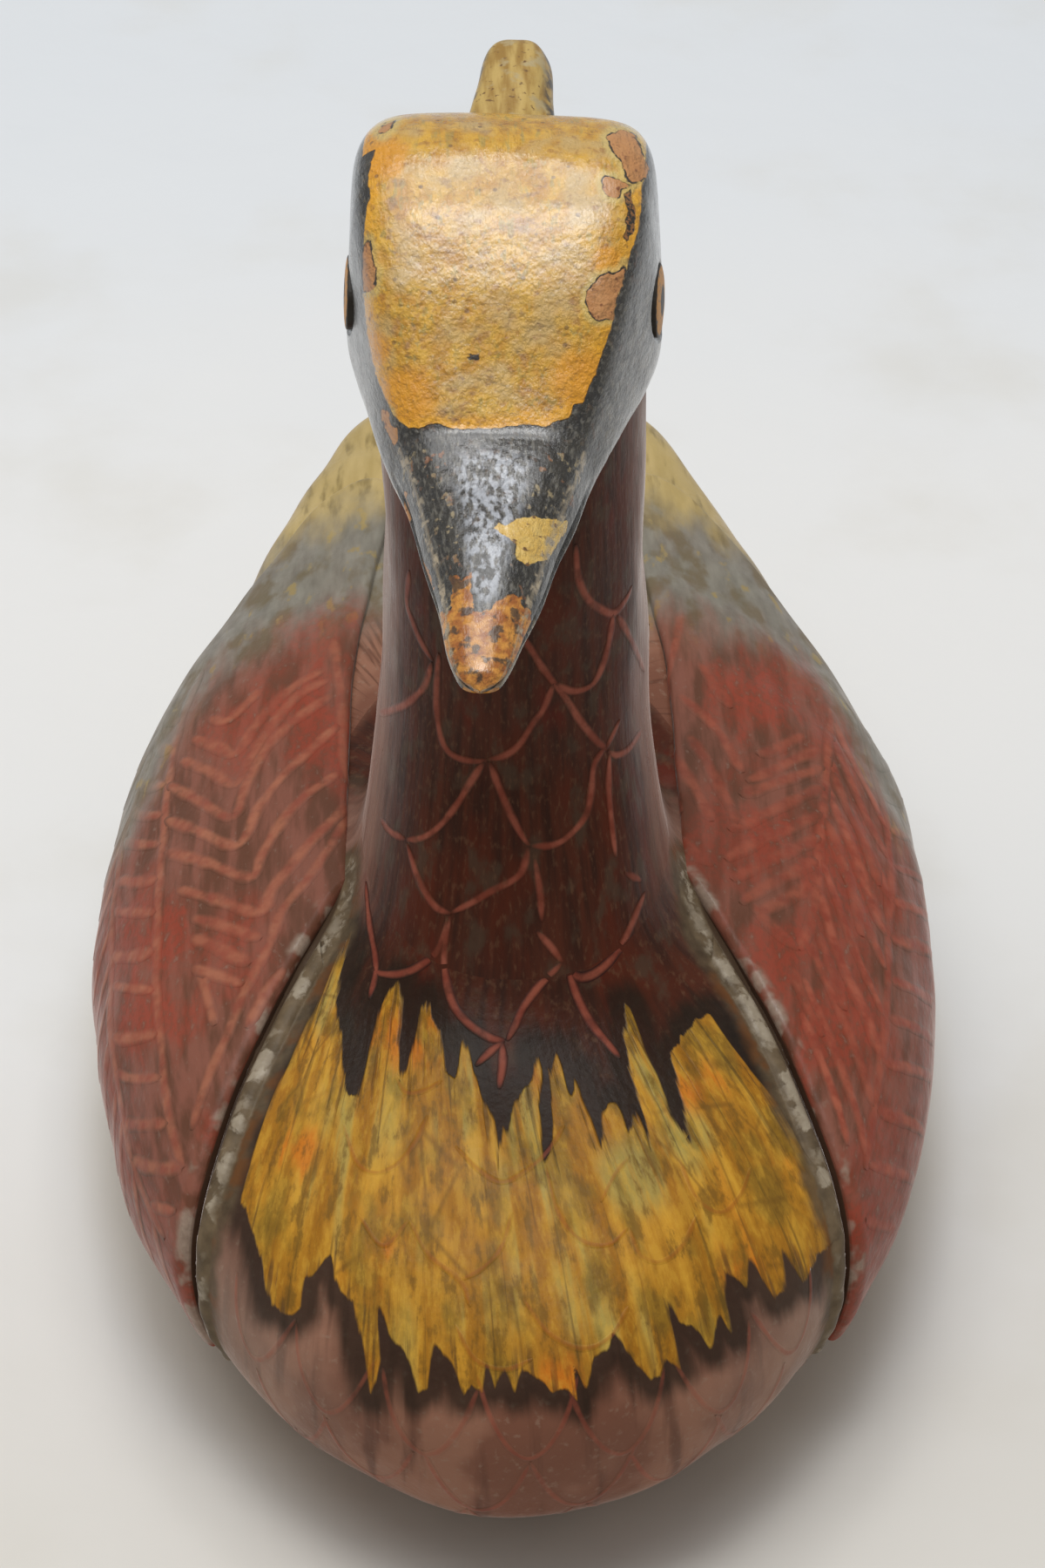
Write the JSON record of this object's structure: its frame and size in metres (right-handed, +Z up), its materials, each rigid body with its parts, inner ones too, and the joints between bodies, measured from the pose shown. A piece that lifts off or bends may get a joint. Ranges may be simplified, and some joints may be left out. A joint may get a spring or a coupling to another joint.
{
  "type": "carved wooden duck figurine",
  "caption": "Free-standing carved and painted wooden duck with a long upright neck, a pointed bill, a crest behind the crown and wings let into the flanks.",
  "frame": {"origin": "centre of the flat underside that the duck stands on", "axes": "+Z up, -Y towards the breast and bill, +Y towards the tail, +X towards the duck's own left wing"},
  "size_m": [0.1264, 0.223, 0.1698],
  "materials": {
    "body_paint": "worn gloss paint and varnish: dark red-brown with an ochre breast and tail",
    "neck_paint": "worn gloss paint, maroon black with a red scale net",
    "head_paint": "chipped gloss paint, yellow ochre crown over black sides and bill",
    "crest_paint": "worn ochre paint",
    "eye_paint": "gloss ochre paint with a black centre",
    "wing_paint": "worn gloss paint, brown black with red feather strokes",
    "bare_wood": "unfinished turned dowel"
  },
  "bodies": {
    "root": {"body": "body_paint", "neck": "neck_paint", "head": "head_paint", "crest": "crest_paint", "left_eye": "eye_paint", "right_eye": "eye_paint", "left_wing": "wing_paint", "right_wing": "wing_paint", "neck_dowel": "bare_wood", "head_dowel": "bare_wood", "left_wing_front_peg": "bare_wood", "left_wing_rear_peg": "bare_wood", "right_wing_front_peg": "bare_wood", "right_wing_rear_peg": "bare_wood"}
  },
  "joints": []
}
